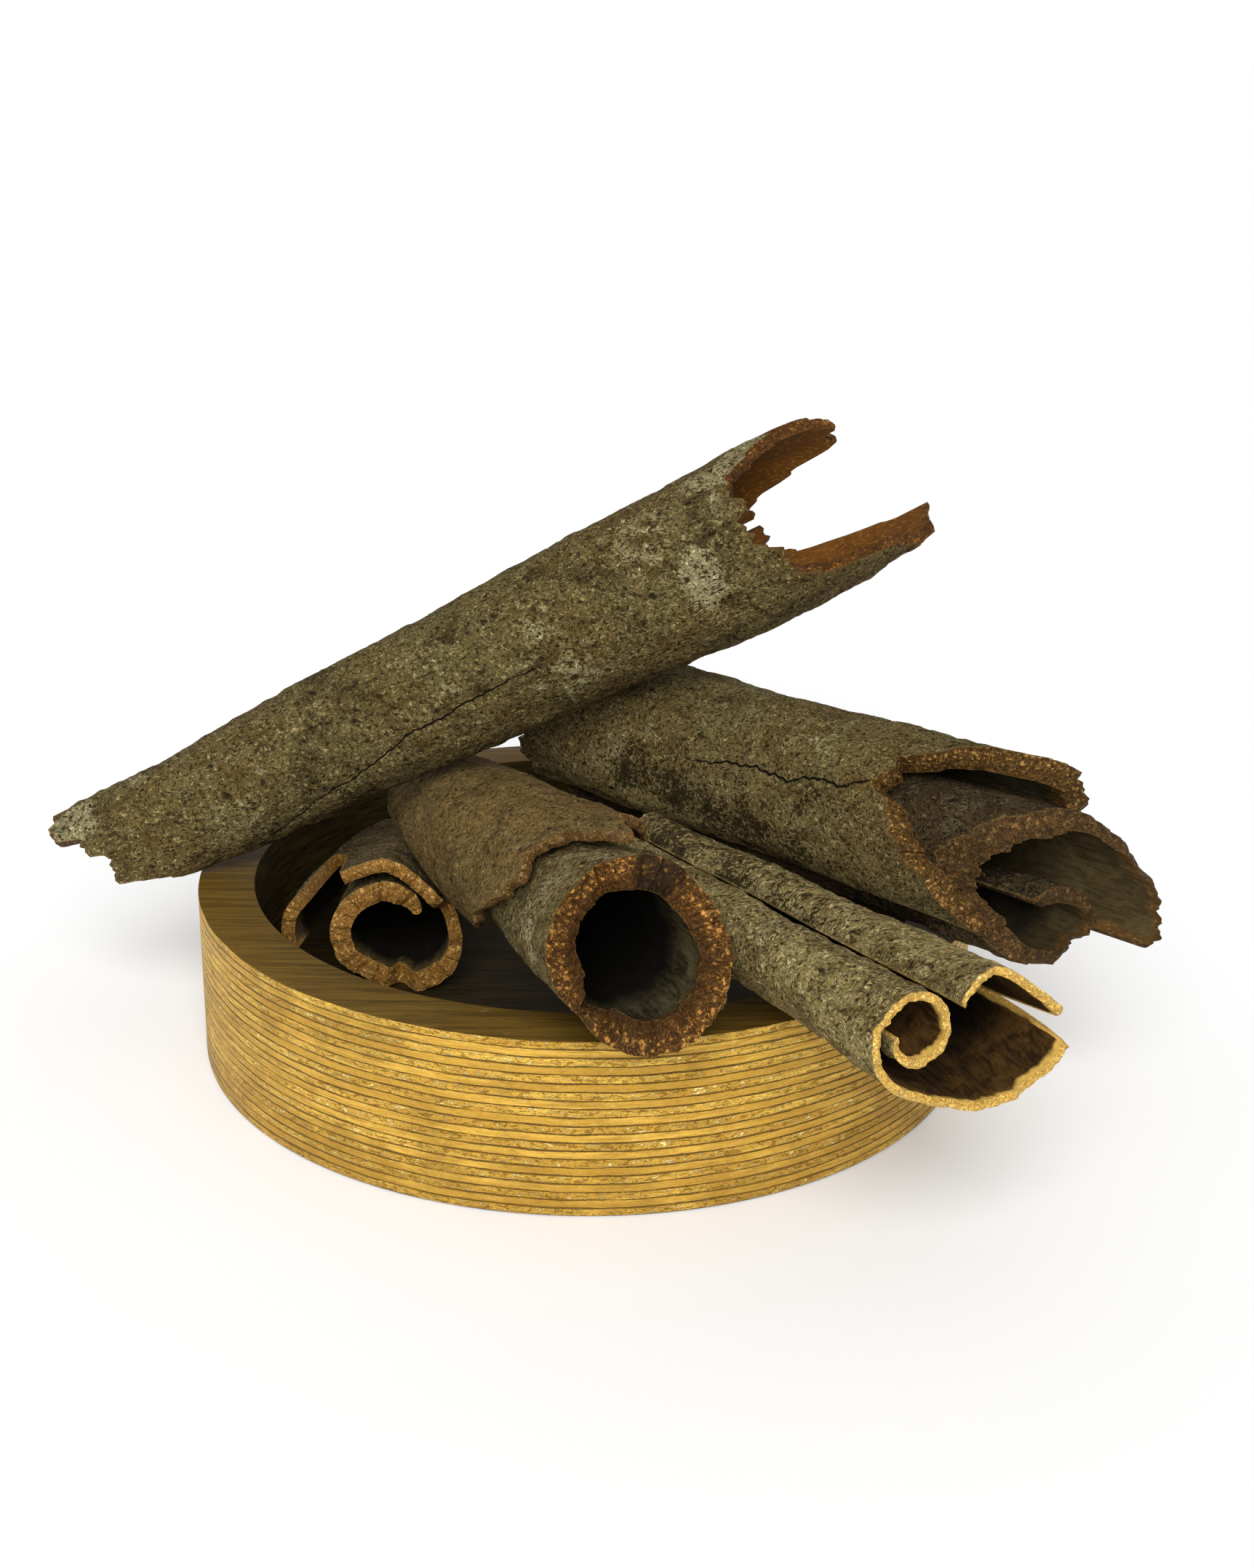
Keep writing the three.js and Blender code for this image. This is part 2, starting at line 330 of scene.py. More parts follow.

# A stick, in mm and degrees. Its axis runs from the front end to the back end. The sheet's section is
# drawn as seen from the front: where it starts, its heading and its bends, each a length and a turn. Growth
# is its size at the back end, and flare a further change between two places. Torn ends are given at shares
# of the width. So are the lip, which thickens the front mouth, and the bevel, which sets back the inner skin,
# or the outer skin where it is below 0. A patch has a place across and along, a radius and a strength.
# Dark patches are partly real dark marks and partly painted shade, in hollows, valleys and undersides.
topStick = {
    "name": "topStick", "node": "quill_top", "slot": "bark_grey",
    "axis": [(-70, 0.5, 40.4), (30, 8.5, 89.7)],
    "start": (-9.3, -1.6), "heading": -80,
    "bends": [(14.6, 88), (14.6, 88), (14.6, 88), (14.6, 88)],
    "growth": 1.54, "flare": (106, 130, -0.2), "thickness": 2.3, "ragged": 0.5,
    "tornFront": [
        (0, 4), (0.14, 3), (0.23, 0), (0.28, -2), (0.31, -5), (0.36, -9), (0.43, -15.6), (0.51, -15.7),
        (0.55, -18.3), (0.59, -18.5), (0.62, -22.8), (0.7, -23.5), (0.78, -23), (0.84, -15), (0.91, -6),
        (1, 2),
    ],
    "tornBack": [
        (0, 112.5), (0.05, 113), (0.08, 116), (0.12, 131), (0.15, 142), (0.18, 140), (0.23, 138), (0.31, 135),
        (0.38, 132), (0.41, 120), (0.44, 113.5), (0.5, 111.5), (0.56, 109.2), (0.63, 109.8), (0.69, 113),
        (0.75, 120), (0.8, 127), (0.86, 130.5), (0.91, 131), (0.935, 121), (0.96, 113.5), (1, 112.5),
    ],
    "cracks": [
        {
            "path": [(17.7, 7), (22.9, 21), (25.7, 35), (27.2, 43), (27.7, 54.5), (28.3, 62), (28, 73)],
            "wander": 0.15, "fade": 28, "width": 0.55,
        },
    ],
    "palePatches": [
        (29.2, 99.1, 5, 2.2), (54, 116, 8, 1.5), (40, 106, 6, 1), (37, 91.5, 7, 0.9), (26, 71, 11, 0.7),
        (31, 50, 10, 0.4), (29, 11, 11, 0.4), (46, -6, 9, 0.7), (38.5, -19, 6, 2.2), (39.5, 112, 5, 2.2),
        (42.5, 117, 4, 2),
    ],
    "darkAndShadePatches": [(38.3, 97.2, 0.9, 2.5), (18, 100, 8, 0.6), (18.5, 30, 9, 0.7)],
    "look": {
        "inner": linear(84, 54, 18), "innerDark": linear(40, 24, 6), "innerPale": linear(104, 72, 30),
        "torn": linear(100, 62, 19), "tornDark": linear(48, 28, 6), "gold": linear(172, 116, 48),
        "glint": 0.7, "lichenFrom": 0.68, "innerFresh": 14.0, "blackStart": 16.0, "blackFrom": 60.0,
    },
}

rightOuterStick = {
    "name": "rightOuterStick", "node": "quill_right_outer", "slot": "bark_grey",
    "axis": [(88.8, -53.7, 47.1), (8.6, 21.6, 47.7)],
    "start": (14.6, 2.6), "heading": 100, "bends": [(21, 79), (20, 79), (12.6, 47)],
    "growth": 0.93, "flare": (46, 20, 0.1), "thickness": 2.6, "ragged": 0.5,
    "lip": [(0, 1.2), (0.2, 1.5), (0.55, 1.5), (0.7, 0.6), (1, 0.6)],
    "bevel": [(0, 1.2), (0.5, 1.5), (0.58, 0), (0.62, -1.5), (0.7, -2.6), (0.9, -2.8), (1, -2)],
    "tornFront": [
        (0, 24), (0.12, 23), (0.27, 25), (0.37, 33), (0.45, 39), (0.54, 45), (0.62, 45.5), (0.69, 40),
        (0.81, 35), (0.88, 29.5), (0.95, 25.5), (1, 22),
    ],
    "tornBack": [(0, 126), (0.3, 123), (0.6, 127), (1, 124)],
    "cracks": [
        {
            "path": [
                (39, 88), (38.2, 76), (36.7, 70), (37.7, 63.5), (36, 57), (35.4, 51.5), (32.8, 44), (32, 36),
            ],
            "wander": 0.3, "fade": 12, "width": 0.9,
        },
    ],
    "palePatches": [(28, 62, 9, 0.5)],
    # the patches along the lower side paint its shade, over real dark specks
    "darkAndShadePatches": [
        (44.4, 97.6, 8, 1.2), (45.3, 88, 8, 1.3), (46.9, 79, 8, 1.2), (49, 70, 8, 1.2), (49, 60, 7, 1),
        (41, 58, 5, 0.8), (41.5, 72, 6, 0.8),
    ],
    "look": {
        "ground": linear(88, 75, 38), "body": linear(116, 103, 60), "lichenFrom": 0.68,
        "torn": linear(92, 63, 21), "tornDark": linear(40, 25, 5), "gold": linear(206, 158, 88),
        "glint": 0.65, "innerFresh": 4.0,
        "inner": linear(66, 58, 38), "innerPale": linear(80, 72, 48), "innerDark": linear(34, 27, 13),
        "blackStart": 6.0, "blackFrom": 32.0,
    },
}

rightInnerStick = {
    "name": "rightInnerStick", "node": "quill_right_inner", "slot": "bark_brown",
    "axis": [(88.8, -53.7, 47.1), (8.6, 21.6, 47.7)],
    "start": (7.5, -12), "heading": 40,
    "bends": [(26, 128), (26, 128), (4.5, 5), (18, 160), (10, 120)],
    "growth": 0.88, "thickness": 2.0, "ragged": 0.5,
    "lip": [(0, 0.8), (0.4, 1.0), (0.6, 1.2), (0.8, 1.0), (1, 0.5)],
    "bevel": [(0, -2.4), (0.25, -2.6), (0.38, -4.5), (0.5, -6.5), (0.6, -5), (0.7, -1.5), (1, -1)],
    "tornFront": [
        (0, 4), (0.06, 3.5), (0.1, 5.5), (0.2, 11), (0.28, 15), (0.36, 19), (0.44, 24), (0.52, 28),
        (0.58, 27), (0.64, 22), (0.7, 20), (0.8, 15), (0.88, 12), (0.95, 16), (1, 18),
    ],
    "tornBack": [(0, 118), (0.5, 120), (1, 116)],
    # these patches paint shade on the scroll, at its torn edge and in its hollow
    "darkAndShadePatches": [
        (66, 18, 9, 0.4), (78, 16, 9, 0.4), (62, 40, 19, 1.3), (71, 36, 19, 1.3), (80, 36, 18, 1.3),
    ],
    "look": {
        "ground": linear(44, 34, 18), "body": linear(72, 59, 36), "pit": linear(18, 12, 5), "relief": 1.3,
        "light": linear(104, 90, 60), "warm": linear(74, 56, 32), "lichen": 0.3,
        "inner": linear(68, 57, 32), "innerPale": linear(84, 72, 44), "innerDark": linear(48, 39, 19),
        "blackStart": 9.0, "blackFrom": 38.0, "innerFresh": 2.5,
        "torn": linear(88, 62, 28), "tornDark": linear(38, 25, 8), "gold": linear(158, 120, 70), "glint": 0.5,
    },
}

ringStick = {
    "name": "ringStick", "node": "quill_ring", "slot": "bark_grey",
    "axis": [(7.5, -76, 47.9), (-24.6, 13.7, 32.6)],
    "start": (-7.6, -9.5), "heading": -51, "bends": [(26.5, 136), (14.4, 50), (10.7, 59), (24.2, 111)],
    "growth": 0.43, "thickness": 2.8, "slant": (-0.115, 0.1), "ragged": 0.4,
    "lip": [(0, 2.2), (0.35, 1.6), (0.5, 1.9), (0.62, 2.6), (0.75, 1.8), (1, 2.2)],
    "bevel": [(0, 1.5), (1, 1.5)],
    "tornFront": [(0, 0.6), (0.25, -0.4), (0.5, 0.3), (0.62, -0.4), (0.72, 1.5), (0.78, -0.3), (1, 0.2)],
    "tornBack": [(0, 96), (0.5, 93), (1, 97)],
    "palePatches": [(66, 14, 9, 1), (72, 30, 9, 0.8)],
    # the wide patch at the bottom of the mouth paints shade there
    "darkAndShadePatches": [(44.5, 0, 5.5, 1.2), (6, 0, 13, 0.42), (73, 0, 7, 0.3), (61, 0, 9, 0.25)],
    "look": {
        "torn": linear(92, 58, 17), "tornDark": linear(44, 26, 5), "gold": linear(206, 148, 70),
        "innerFresh": 4.4, "glint": 1.0, "nuggets": 1.05, "evenly": 0.08,
        "inner": linear(78, 70, 46), "innerPale": linear(100, 92, 62), "blackStart": 5.0, "blackFrom": 16.0,
        "lichenFrom": 0.56,
    },
}

shellStick = {
    "name": "shellStick", "node": "bark_shell", "slot": "bark_brown",
    "axis": [(2.2, -56, 44.4), (-31, 33.8, 31)],
    "start": (11.9, 9.4), "heading": 127, "bends": [(14, 53), (25, 95), (6.5, 25)],
    "growth": 0.66, "thickness": 1.8, "ragged": 0.4,
    "tornFront": [
        (0, 10), (0.09, 4), (0.22, 2), (0.28, -7.5), (0.32, -17), (0.38, -9), (0.43, -3), (0.5, -2),
        (0.57, -0.3), (0.63, -3.3), (0.71, 1.5), (0.79, 9), (0.89, 18), (1, 25),
    ],
    "tornBack": [(0, 60), (0.2, 88), (0.45, 92), (0.8, 84), (1, 46)],
    "look": {
        "ground": linear(88, 69, 33), "body": linear(124, 102, 57), "warm": linear(120, 92, 48),
        "light": linear(162, 136, 86), "fibre": 0.75, "lichen": 0.3, "relief": 0.8,
        "torn": linear(116, 84, 42), "tornDark": linear(68, 46, 18), "gold": linear(176, 142, 90),
        "outline": 0.6,
    },
}

smallStick = {
    "name": "smallStick", "node": "quill_small", "slot": "bark_brown",
    "axis": [(-37.2, -8.5, 20.3), (-37, 41, 16.5)],
    "start": (7.1, 3), "heading": 107,
    "bends": [
        (16.5, 132), (13.1, 88), (11.4, 42), (15.5, 116), (10.6, 11), (7.4, 66), (11.5, 2), (11.5, 107),
    ],
    "growth": 0.6, "thickness": 2.4, "ragged": 0.3,
    "lip": [(0, 0.4), (0.06, 1.3), (0.45, 1.3), (0.52, 0), (1, 0)],
    "tornFront": [
        (0, 3), (0.08, 2), (0.1, 0), (0.36, 0), (0.382, 3), (0.41, 0), (0.55, 0), (0.59, 5),
        (0.618, 0), (0.82, 0.5), (0.85, 20), (0.885, 22), (0.91, -1.5), (1, -2.5),
    ],
    "tornBack": [(0, 43), (0.5, 41), (0.8, 42), (1, 38)],
    "look": {
        "ground": linear(52, 40, 22), "body": linear(84, 68, 42),
        "torn": linear(158, 114, 50), "tornDark": linear(110, 72, 22), "gold": linear(224, 180, 108),
        "inner": linear(112, 94, 60), "innerPale": linear(132, 114, 78), "innerDark": linear(66, 50, 26),
        "rim": linear(178, 144, 92), "outline": 0.8, "tornShade": 0.25,
        "blackStart": 1.5, "blackFrom": 8.0, "innerFresh": 1.5,
    },
}

doubleStick = {
    "name": "doubleStick", "node": "quill_double", "slot": "bark_grey",
    "axis": [(48.9, -96, 41.4), (4.9, -9.4, 36.5)],
    "start": (-7.7, 4.7), "heading": -95,
    "bends": [(12.4, 182), (21.7, 210), (6.6, 28), (16.4, 34), (14.5, 53), (2.9, 73), (15.7, 29), (8.7, 103)],
    "growth": 0.62, "thickness": 1.3, "ragged": 0.2,
    "tornFront": [(0, 0.5), (0.2, -0.3), (0.4, 0.2), (0.72, 0), (0.75, 20), (0.78, 0), (1, -0.2)],
    "tornBack": [(0, 92), (0.5, 90), (1, 93)],
    # painted shadow in the valley between the flap and the scroll, next to the right bundle
    "darkAndShadePatches": [(99, 30, 9, 0.8), (99, 45, 12, 1), (98, 62, 18, 1.1), (96, 82, 22, 1.2)],
    "look": {
        "body": linear(154, 135, 80), "ground": linear(104, 87, 43), "light": linear(206, 188, 132),
        "inner": linear(72, 49, 18), "innerDark": linear(34, 21, 6), "innerPale": linear(104, 74, 32),
        "innerFresh": 1.4, "torn": linear(226, 184, 92), "tornDark": linear(182, 138, 56),
        "gold": linear(244, 214, 136), "nuggets": 1.8, "tornShade": 0.2, "rim": linear(196, 164, 100),
        "blackStart": 3.0, "blackFrom": 20.0, "outline": 0.6,
    },
}

sticks = [topStick, rightOuterStick, rightInnerStick, ringStick, shellStick, smallStick, doubleStick]


def along(pairs, at):
    # the value at each place of a line through (place, value) pairs, rounded at its corners
    places = np.array([place for place, value in pairs], float)
    values = np.array([value for place, value in pairs], float)
    i = np.clip(np.searchsorted(places, at, side="left") - 1, 0, len(places) - 2)
    part = np.clip((at - places[i]) / (places[i + 1] - places[i]), 0, 1)
    return values[i] + (values[i + 1] - values[i]) * part * part * (3 - 2 * part)


def tear(distance, phase):
    return (
        np.sin(0.9 * distance + phase)
        + 0.7 * np.sin(2.1 * distance + 2.3 * phase)
        + 0.5 * np.sin(4.7 * distance + 3.1 * phase)
    )


def walkSection(stick):
    # the sheet's middle line, seen from the stick's front end
    steps = barkHabit["sectionSteps"]
    lengths = np.array([length for length, turn in stick["bends"]])
    turns = np.radians([turn for length, turn in stick["bends"]])
    width = lengths.sum()
    step = width / steps
    walked = np.arange(steps + 1) * step
    bend = np.clip(np.searchsorted(np.cumsum(lengths), walked[:-1], side="right"), 0, len(lengths) - 1)
    turn = (turns / lengths)[bend] * step
    angle = math.radians(stick["heading"]) + np.concatenate([[0], np.cumsum(turn)])
    middle = angle[:-1] + turn / 2
    x = stick["start"][0] + np.concatenate([[0], np.cumsum(step * np.cos(middle))])
    y = stick["start"][1] + np.concatenate([[0], np.cumsum(step * np.sin(middle))])
    return width, walked, x, y, angle


def flatSlab(name, columns, rows, layers):
    # a flat slab of bark, one unit each way
    bpy.ops.object.select_all(action="DESELECT")
    bpy.ops.mesh.primitive_grid_add(x_subdivisions=columns, y_subdivisions=rows, size=1)
    slab = bpy.context.active_object
    slab.name = name
    slab.data.name = name
    bpy.ops.object.mode_set(mode="EDIT")
    bpy.ops.mesh.select_all(action="SELECT")
    for layer in range(layers):
        bpy.ops.mesh.extrude_region_move(TRANSFORM_OT_translate={"value": (0, 0, 1 / layers)})
    bpy.ops.object.mode_set(mode="OBJECT")
    return slab


def setAttribute(mesh, name, kind, values):
    layer = mesh.attributes.new(name, kind, "POINT")
    field = "vector" if kind == "FLOAT_VECTOR" else "value"
    layer.data.foreach_set(field, np.ravel(values).astype(np.float32))


def fray(walked, through, offset):
    # how far each point of a torn end stands out, a little different from layer to layer
    places = list(zip(np.round(walked, 3), np.round(through, 3)))
    table = {}
    for place in set(places):
        spot = Vector((place[0] * barkHabit["frayAcross"], place[1] * barkHabit["frayThrough"], offset))
        table[place] = noise.noise(spot * 0.4) + 0.8 * noise.noise(spot) + 0.4 * noise.noise(spot * 2.3)
    return np.array([table[place] for place in places])


def tornLine(stick, end, u, walked, width, curveWalked):
    # where a torn end lies along the stick, and how much its slope stretches the way to it
    line = along(stick[end], u)
    slope = np.abs(np.gradient(along(stick[end], curveWalked / width), curveWalked))
    return line, np.sqrt(1 + np.interp(walked, curveWalked, slope) ** 2)


def crackOffset(stick, walked, s, phase):
    # how far each point lies to the side of the nearest crack, which narrows to nothing at its ends
    nearest = np.full(len(walked), farAway)
    swing = np.sin(0.41 * s + phase) + np.sin(0.93 * s) * np.sin(0.27 * s)
    swing = swing + 0.5 * np.sin(3.1 * s + 2 * phase)
    for crack in stick.get("cracks", []):
        path = np.array(sorted(crack["path"], key=lambda spot: spot[1]), float)
        offset = walked + crack["wander"] * swing - np.interp(s, path[:, 1], path[:, 0])
        fromEnds = np.minimum(barkHabit["crackOnset"] * (s - path[0, 1]), path[-1, 1] - s)
        offset = offset / np.clip(fromEnds / crack["fade"], barkHabit["crackTip"], crack["width"])
        nearest = np.where(np.abs(offset) < np.abs(nearest), offset, nearest)
    return nearest


def curl(slab, stick, phase):
    # rolls the flat slab up along its section curve and tears its ends
    first, second = [np.array(p, float) for p in stick["axis"]]
    length = np.linalg.norm(second - first)
    away = (second - first) / length
    right = np.cross(away, (0, 0, 1))
    right /= np.linalg.norm(right)
    up = np.cross(right, away)
    width, curveWalked, curveX, curveY, curveAngle = walkSection(stick)
    slant = stick.get("slant", (0, 0))
    flareFrom, flareTo, flareAmount = stick.get("flare", (0, 1, 0))

    mesh = slab.data
    flat = np.empty(len(mesh.vertices) * 3, np.float32)
    mesh.vertices.foreach_get("co", flat)
    flat = flat.reshape(-1, 3).astype(float)
    # u across the sheet, v along it and w from its inner to its outer skin, each 0 to 1
    u = np.clip(flat[:, 0] + 0.5, 0, 1)
    v = np.clip(flat[:, 1] + 0.5, 0, 1)
    w = np.clip(flat[:, 2], 0, 1)
    walked = u * width
    x = np.interp(walked, curveWalked, curveX)
    y = np.interp(walked, curveWalked, curveY)
    angle = np.interp(walked, curveWalked, curveAngle)

    roundOff = barkHabit["rounded"] * (1 - (2 * w - 1) ** 2)
    front, frontLean = tornLine(stick, "tornFront", u, walked, width, curveWalked)
    back, backLean = tornLine(stick, "tornBack", u, walked, width, curveWalked)
    front = front + stick["ragged"] * tear(walked, phase)
    front += slant[0] * x + slant[1] * y
    back = back + 2 * stick["ragged"] * tear(walked, phase + 1)
    # multiples of the phase keep one stick, and one end, from matching another
    frontFray = barkHabit["frayed"] * fray(walked, w, phase * 7)
    backFray = barkHabit["frayed"] * fray(walked, w, phase * 7 + 19)
    # a slanting tear sets back the inner skin where the bevel is above 0, the outer skin where it is below
    bevel = along(stick.get("bevel", [(0, 0), (1, 0)]), u)
    setBack = np.where(bevel > 0, bevel * (1 - w), -bevel * w)
    rowFront = front + frontFray - roundOff + setBack
    rowBack = back + backFray + roundOff
    s = rowFront + (rowBack - rowFront) * v

    toSide = np.minimum(walked, width - walked)
    thin = barkHabit["borderThickness"]
    body = thin + (1 - thin) * np.minimum(1, toSide / barkHabit["borderWidth"])
    opened = flareAmount * np.maximum(0, (s - flareFrom) / (flareTo - flareFrom)) ** 2
    size = 1 + (stick["growth"] - 1) * s / length + opened
    wave = barkHabit["unevenness"] * np.sin(0.13 * s + 0.35 * walked + phase)
    onOuter = w > 1 - hair
    toCrack = crackOffset(stick, walked, s, phase)
    groove = np.clip(1 - np.abs(toCrack), 0, 1) * onOuter
    # a torn mouth is thicker than the sheet behind it
    fade = (1 - np.clip((s - rowFront) / barkHabit["lipLength"], 0, 1)) ** 1.5
    lip = along(stick.get("lip", [(0, 0), (1, 0)]), u) * fade * (1 - w)
    lift = wave + ((w - 0.5) * stick["thickness"] - lip) * body - groove * barkHabit["crackDepth"]
    side = np.where(walked < hair, -1, np.where(walked > width - hair, 1, 0)) * roundOff
    px = x * size + np.sin(angle) * lift + np.cos(angle) * side
    py = y * size - np.cos(angle) * lift + np.sin(angle) * side
    place = first + s[:, None] * away + px[:, None] * right + py[:, None] * up
    mesh.vertices.foreach_set("co", (place * mm).astype(np.float32).ravel())

    toFront = (s - rowFront) / frontLean
    toBack = (rowBack - s) / backLean
    toBorder = np.minimum(np.minimum(toFront, toBack), toSide)
    barkPlace = np.stack([walked * size, s, phase * 40 + w * stick["thickness"] - lip], 1)
    setAttribute(mesh, "barkPlace", "FLOAT_VECTOR", barkPlace)
    setAttribute(mesh, "borderDistance", "FLOAT", toBorder)
    setAttribute(mesh, "mouthDistance", "FLOAT", np.minimum(s - rowFront, rowBack - s))
    setAttribute(mesh, "through", "FLOAT", w)
    setAttribute(mesh, "crack", "FLOAT", toCrack)
    for name in ("palePatch", "darkAndShadePatch"):
        strength = np.zeros(len(u))
        for across, farther, radius, amount in stick.get(name + "es", []):
            reach = np.hypot(walked - across, s - farther) / radius
            strength = np.maximum(strength, amount * np.clip(1 - reach * reach, 0, 1))
        setAttribute(mesh, name, "FLOAT", strength)

    # each face's material: 0 the outer skin, 1 the inner skin, 2 a torn edge
    corners = np.empty(len(mesh.loops), np.int32)
    mesh.loops.foreach_get("vertex_index", corners)
    layer = w[corners].reshape(-1, 4)
    kind = np.full(len(layer), 2)
    kind[(layer > 1 - hair).all(1)] = 0
    kind[(layer < hair).all(1)] = 1
    inside = np.clip(toBorder / barkHabit["calmBorder"], 0, 1)
    return kind.astype(np.int32), np.where(onOuter, inside, 0), np.where(w < hair, inside, 0)


def weightGroup(piece, name, weights):
    # in ten steps, so that each step is one call
    steps = 10
    group = piece.vertex_groups.new(name=name)
    levels = np.round(weights * steps).astype(int)
    for level in range(1, steps + 1):
        group.add(np.flatnonzero(levels == level).tolist(), level / steps, "REPLACE")


def relief(piece, group, texture, strength):
    displace = piece.modifiers.new("relief", "DISPLACE")
    displace.texture = texture
    displace.texture_coords = "LOCAL"
    displace.vertex_group = group
    displace.strength = strength * mm
    displace.mid_level = 0.5


def cloudTexture(name, size, hard=False):
    texture = bpy.data.textures.new(name, "CLOUDS")
    texture.noise_scale = size * mm
    texture.noise_depth = 2
    texture.noise_type = "HARD_NOISE" if hard else "SOFT_NOISE"
    return texture


barkLumps = cloudTexture("barkLumps", 9)
barkPimples = cloudTexture("barkPimples", 2.2)
barkRidges = cloudTexture("barkRidges", 5, True)

# the skin that carries it, its texture and its height in mm
barkRelief = [
    ("outer", barkLumps, 0.8), ("outer", barkRidges, 0.5), ("outer", barkPimples, 0.55),
    ("inner", barkRidges, 0.35),
]


def makeStick(stick, phase):
    look = {**greyLook, **stick["look"]}
    width = sum(length for length, turn in stick["bends"])
    farthest = max(value for place, value in stick["tornBack"])
    reach = farthest - min(value for place, value in stick["tornFront"])
    step = barkHabit["gridStep"]
    columns = int(width * max(1, stick["growth"] * barkHabit["growthShare"]) / step)
    rows = int(reach / step * barkHabit["rowShare"])
    layers = max(3, round(stick["thickness"] / barkHabit["layerStep"]))
    piece = flatSlab(stick["name"], columns, rows, layers)
    kind, outerWeights, innerWeights = curl(piece, stick, phase)
    for material in (
        outerBark(stick["name"] + "Outer", look),
        innerBark(stick["name"] + "Inner", look),
        tornBark(stick["name"] + "Torn", look),
    ):
        piece.data.materials.append(material)
    piece.data.polygons.foreach_set("material_index", kind)
    weightGroup(piece, "outer", outerWeights)
    weightGroup(piece, "inner", innerWeights)
    onlyActive(piece)
    bpy.ops.object.mode_set(mode="EDIT")
    bpy.ops.mesh.select_all(action="SELECT")
    bpy.ops.mesh.normals_make_consistent(inside=False)
    bpy.ops.object.mode_set(mode="OBJECT")
    for skin, texture, height in barkRelief:
        relief(piece, skin, texture, height)
    applyAll(piece)
    bpy.ops.object.shade_smooth_by_angle(angle=math.radians(barkHabit["smoothAngle"]))
    piece.vertex_groups.clear()
    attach(piece, "root")
    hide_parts(stick["node"])
    triangles = sum(len(face.vertices) - 2 for face in piece.data.polygons)
    print(stick["name"], "curled,", triangles, "triangles")


for phase, stick in enumerate(sticks, 1):
    makeStick(stick, phase)


dish = {
    "radius": 69.0, "wall": 9.8, "height": 30.0, "floor": 9.3, "plies": 21,
    "sides": 256, "glueGroove": 0.1, "glueHalf": 0.16, "brokenEdge": 0.5, "edgeSegments": 3,
    "sharpAngle": 60, "smoothAngle": 35,  # degrees
    "rimSlack": 0.05, "wallSlack": 0.3, "floorSlack": 0.1,  # within which a face belongs to that surface
    "rimScratches": 0.5, "floorScratches": 0.1,
    "plyPattern": 1.43, "plyShift": 7.3,  # height of a ply in its pattern, and the shift from ply to ply
    "lightPly": linear(222, 180, 76), "darkPly": linear(170, 128, 41), "glue": linear(72, 46, 8),
    "blotchAndLow": linear(124, 90, 24),
    "fleck": linear(244, 222, 146), "fleckShade": linear(122, 86, 20),
    "topWood": linear(108, 82, 28), "topDark": linear(72, 53, 15), "scratch": linear(150, 124, 70),
    # the inside wall and the floor are darker than the plies partly as painted shade
    "inside": linear(76, 62, 28), "insideDark": linear(40, 31, 12),
    "floorWoodAndShade": linear(58, 46, 20), "floorDarkAndShade": linear(30, 23, 8),
}


def plywoodSide(d):
    p = Paint("plywoodSide")
    where = p.node("ShaderNodeTexCoord", {}, {}, "Object")
    x, y, z = [p.node("ShaderNodeSeparateXYZ", {}, {"Vector": where}, axis) for axis in "XYZ"]
    place = p.stretch(where, unitsPerMetre)
    arc = x.math("ARCTAN2", y, x) * d["radius"]
    wobble = p.noise(place, 0.05, 4.0, 0.6) - 0.5
    ply = z * (d["plies"] / d["height"] / mm) + wobble * 0.55
    index = ply.floor()
    within = ply - index
    odd = index % 2.0
    squared = x * x + y * y
    facing = abs(y) / squared.math("SQRT", squared)
    endGrain = p.rise(abs(odd - facing), 0.25, 0.75)
    unrolled = {"X": arc, "Y": ply * d["plyPattern"], "Z": index * d["plyShift"]}
    roll = p.node("ShaderNodeCombineXYZ", {}, unrolled)
    fibre = p.noise(p.stretch(roll, (0.16, 2.2, 1.0)), 1.0, 4.0, 0.6, 0.3)
    chips = p.noise(p.stretch(roll, (0.75, 1.7, 1.0)), 1.0, 3.0, 0.65, 0.8)
    shade = p.noise(p.stretch(roll, (0.03, 0.1, 1.0)), 1.0, 2.0)
    chipped = endGrain * 0.8 + 0.2
    fleck = p.rise(chips, 0.55, 0.66) * chipped
    hollow = p.rise(1 - chips, 0.54, 0.66) * chipped
    worn = p.noise(p.stretch(roll, (0.09, 0.6, 1.0), (5, 3, 2)), 1.0, 3.0, 0.6)
    glue = p.rise(abs(within - 0.5) + (chips - 0.5) * 0.24 + (worn - 0.5) * 0.4, 0.4, 0.47)
    colour = p.blend(p.rise(fibre, 0.3, 0.68), d["darkPly"], d["lightPly"])
    colour = p.blend(p.rise(shade, 0.4, 0.62) * 0.7, colour, d["darkPly"])
    colour = p.blend((1 - endGrain) * 0.3, colour, d["darkPly"])
    colour = p.blend(hollow * 0.6, colour, d["fleckShade"])
    colour = p.blend(fleck * 0.7, colour, d["fleck"])
    colour = p.blend(glue * 0.85, colour, d["glue"])
    # darker in blotches and towards the bottom
    blotchAndLow = p.noise(place, 0.09, 4.0, 0.65, 0.3)
    low = 1 - p.rise(z, 1.0 * mm, 11.0 * mm)
    colour = p.blend(p.rise(blotchAndLow + low * 0.16, 0.46, 0.72) * 0.45, colour, d["blotchAndLow"])
    height = fleck * 0.8 - hollow * 0.8 - glue * 0.9 + fibre * 0.3 - endGrain * 0.25
    return p.shade(
        Base_Color=colour, Roughness=0.5, Specular_IOR_Level=0.2,
        Normal=p.bump(height, 0.3 * mm),
    )


